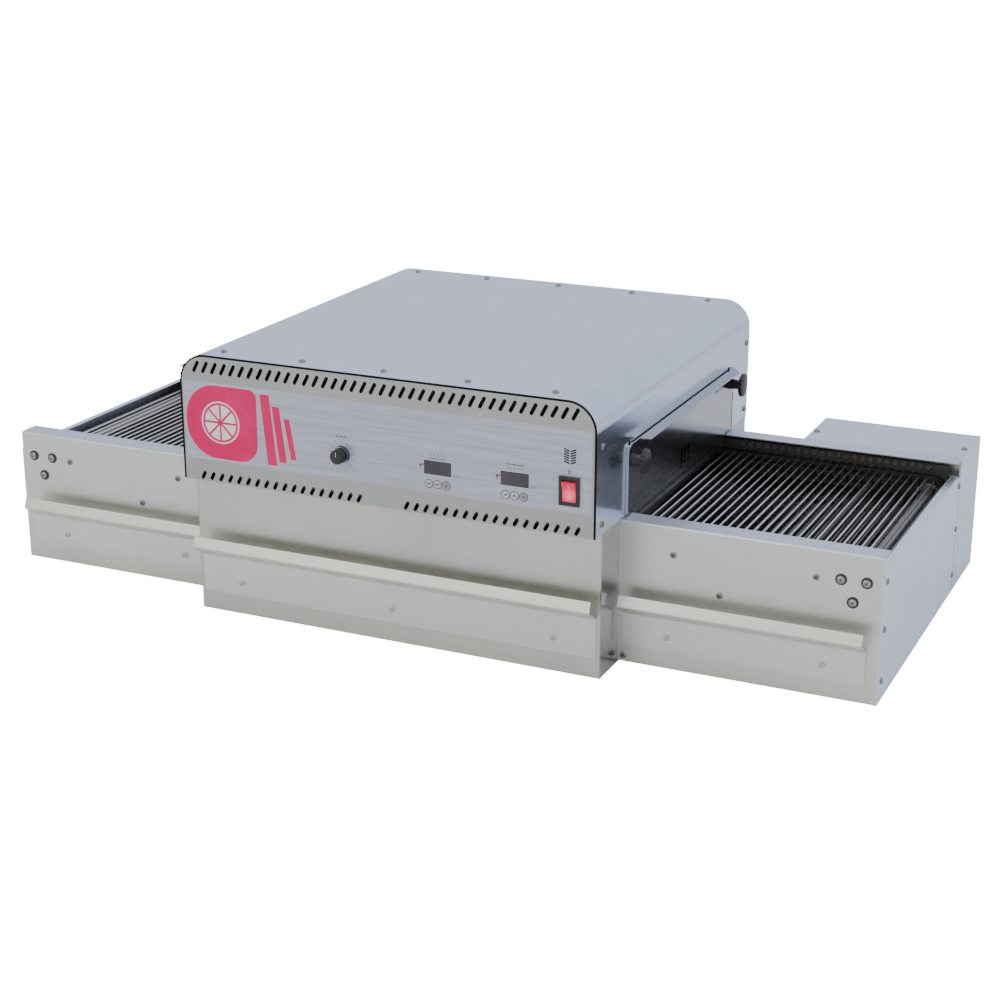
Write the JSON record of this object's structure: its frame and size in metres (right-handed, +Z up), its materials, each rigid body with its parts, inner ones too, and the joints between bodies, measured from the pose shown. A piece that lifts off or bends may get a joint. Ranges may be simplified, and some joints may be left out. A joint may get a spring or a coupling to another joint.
{
  "type": "conveyor pizza oven",
  "caption": "Electric conveyor pizza oven: stainless body with a heated tunnel, rod belt on roller chains, loading trays, sliding gates and crumb drawers.",
  "frame": {"origin": "centre of the body's base, in the plane that stands on the counter", "axes": "+X along the conveyor to the drive end, +Y to the back, +Z up"},
  "size_m": [1.3862, 0.7137, 0.4039],
  "materials": {
    "steel_front": "brushed stainless sheet",
    "steel_inner": "plain stainless sheet",
    "steel_bright": "bright machined or plated steel",
    "steel_dark": "dark oiled chain steel",
    "rubber_black": "matt black rubber",
    "plastic_black": "matt black moulded plastic",
    "plastic_grey": "light grey plastic",
    "overlay_print": "printed brushed silver label",
    "window_smoked": "smoked display window",
    "rocker_red": "translucent red, lit",
    "insulation_wool": "mineral wool slab",
    "heater_sheath": "oxidised heater sheath",
    "motor_grey": "grey painted casting"
  },
  "bodies": {
    "oven": {"base_pan": "steel_inner", "bearing_bolts": "steel_bright", "belt_chains": "steel_dark", "belt_rods_return": "steel_bright", "belt_rods_upper": "steel_bright", "casing_screws": "steel_bright", "chamber_floor": "steel_inner", "chamber_roof": "steel_inner", "control_gear": "plastic_grey", "control_panel": "steel_front", "conveyor_rails": "steel_inner", "display_windows": "window_smoked", "drawer_runners": "steel_inner", "drive_box": "steel_front", "drive_box_cover": "steel_front", "drive_chain": "steel_dark", "end_panel_left": "steel_front", "end_panel_right": "steel_front", "gearmotor": "motor_grey", "hood": "steel_front", "hood_gasket": "rubber_black", "insulation": "insulation_wool", "insulation_jacket": "steel_inner", "lower_front_panel": "steel_front", "lower_heaters": "heater_sheath", "mains_gland": "plastic_black", "panel_electronics": "plastic_grey", "panel_overlay": "overlay_print", "rear_panel": "steel_front", "shaft_bearings": "motor_grey", "side_plate_left": "steel_front", "side_plate_right": "steel_front", "switch_bezel": "plastic_black", "temperature_probes": "steel_bright", "tray_left": "steel_front", "tray_right": "steel_front", "upper_heaters": "heater_sheath"},
    "drive_shaft": {"drive_shaft": "steel_bright"},
    "idler_shaft": {"idler_shaft": "steel_bright"},
    "motor_output": {"motor_sprocket": "steel_bright"},
    "speed_knob": {"speed_knob": "plastic_black"},
    "power_rocker": {"power_rocker": "rocker_red"},
    "gate_right": {"gate_right": "steel_front"},
    "gate_left": {"gate_left": "steel_front"},
    "gate_knob_right_front": {"gate_knob_right_front": "plastic_black"},
    "gate_knob_right_back": {"gate_knob_right_back": "plastic_black"},
    "gate_knob_left_front": {"gate_knob_left_front": "plastic_black"},
    "gate_knob_left_back": {"gate_knob_left_back": "plastic_black"},
    "crumb_drawer_right": {"crumb_drawer_right": "steel_inner", "drawer_front_right": "steel_front"},
    "crumb_drawer_left": {"crumb_drawer_left": "steel_inner", "drawer_front_left": "steel_front"},
    "crumb_drawer_centre": {"crumb_drawer_centre": "steel_inner", "drawer_front_centre": "steel_front"},
    "key_upper_down": {"key_upper_down": "plastic_grey"},
    "key_upper_up": {"key_upper_up": "plastic_grey"},
    "key_upper_set": {"key_upper_set": "plastic_grey"},
    "key_lower_down": {"key_lower_down": "plastic_grey"},
    "key_lower_up": {"key_lower_up": "plastic_grey"},
    "key_lower_set": {"key_lower_set": "plastic_grey"}
  },
  "joints": [
    {"name": "drive_shaft_spin", "type": "hinge", "parent": "oven", "child": "drive_shaft", "pos_m": [0.65087, 0, 0.165], "axis": [0, 1, 0], "continuous": true},
    {"name": "idler_shaft_spin", "type": "hinge", "parent": "oven", "child": "idler_shaft", "pos_m": [-0.65087, 0, 0.165], "axis": [0, 1, 0], "continuous": true},
    {"name": "motor_output_spin", "type": "hinge", "parent": "oven", "child": "motor_output", "pos_m": [0.56, 0.2505, 0.078], "axis": [0, 1, 0], "continuous": true},
    {"name": "speed_knob_turn", "type": "hinge", "parent": "oven", "child": "speed_knob", "pos_m": [-0.06, -0.345, 0.2826], "axis": [0, -1, 0], "range_deg": [-135, 135]},
    {"name": "power_rocker_tilt", "type": "hinge", "parent": "oven", "child": "power_rocker", "pos_m": [0.2847, -0.3386, 0.277], "axis": [1, 0, 0], "range_deg": [-18, 0]},
    {"name": "gate_right_slide", "type": "slide", "parent": "oven", "child": "gate_right", "axis": [0, 0, 1], "range_m": [0, 0.022]},
    {"name": "gate_left_slide", "type": "slide", "parent": "oven", "child": "gate_left", "axis": [0, 0, 1], "range_m": [0, 0.022]},
    {"name": "gate_knob_right_front_turn", "type": "hinge", "parent": "gate_right", "child": "gate_knob_right_front", "pos_m": [0.34, -0.2195, 0.292], "axis": [1, 0, 0], "range_deg": [0, 360]},
    {"name": "gate_knob_right_back_turn", "type": "hinge", "parent": "gate_right", "child": "gate_knob_right_back", "pos_m": [0.34, 0.21, 0.292], "axis": [1, 0, 0], "range_deg": [0, 360]},
    {"name": "gate_knob_left_front_turn", "type": "hinge", "parent": "gate_left", "child": "gate_knob_left_front", "pos_m": [-0.34, -0.2195, 0.292], "axis": [-1, 0, 0], "range_deg": [0, 360]},
    {"name": "gate_knob_left_back_turn", "type": "hinge", "parent": "gate_left", "child": "gate_knob_left_back", "pos_m": [-0.34, 0.21, 0.292], "axis": [-1, 0, 0], "range_deg": [0, 360]},
    {"name": "crumb_drawer_right_slide", "type": "slide", "parent": "oven", "child": "crumb_drawer_right", "axis": [0, -1, 0], "range_m": [0, 0.38]},
    {"name": "crumb_drawer_left_slide", "type": "slide", "parent": "oven", "child": "crumb_drawer_left", "axis": [0, -1, 0], "range_m": [0, 0.38]},
    {"name": "crumb_drawer_centre_slide", "type": "slide", "parent": "oven", "child": "crumb_drawer_centre", "axis": [0, -1, 0], "range_m": [0, 0.45]},
    {"name": "key_upper_down_press", "type": "slide", "parent": "oven", "child": "key_upper_down", "axis": [0, 1, 0], "range_m": [0, 0.0007], "stiffness_N_per_m": 400},
    {"name": "key_upper_up_press", "type": "slide", "parent": "oven", "child": "key_upper_up", "axis": [0, 1, 0], "range_m": [0, 0.0007], "stiffness_N_per_m": 400},
    {"name": "key_upper_set_press", "type": "slide", "parent": "oven", "child": "key_upper_set", "axis": [0, 1, 0], "range_m": [0, 0.0007], "stiffness_N_per_m": 400},
    {"name": "key_lower_down_press", "type": "slide", "parent": "oven", "child": "key_lower_down", "axis": [0, 1, 0], "range_m": [0, 0.0007], "stiffness_N_per_m": 400},
    {"name": "key_lower_up_press", "type": "slide", "parent": "oven", "child": "key_lower_up", "axis": [0, 1, 0], "range_m": [0, 0.0007], "stiffness_N_per_m": 400},
    {"name": "key_lower_set_press", "type": "slide", "parent": "oven", "child": "key_lower_set", "axis": [0, 1, 0], "range_m": [0, 0.0007], "stiffness_N_per_m": 400}
  ],
  "couplings": [
    {"joint": "idler_shaft_spin", "follows": "drive_shaft_spin", "ratio": 1},
    {"joint": "motor_output_spin", "follows": "drive_shaft_spin", "ratio": 1.4}
  ]
}
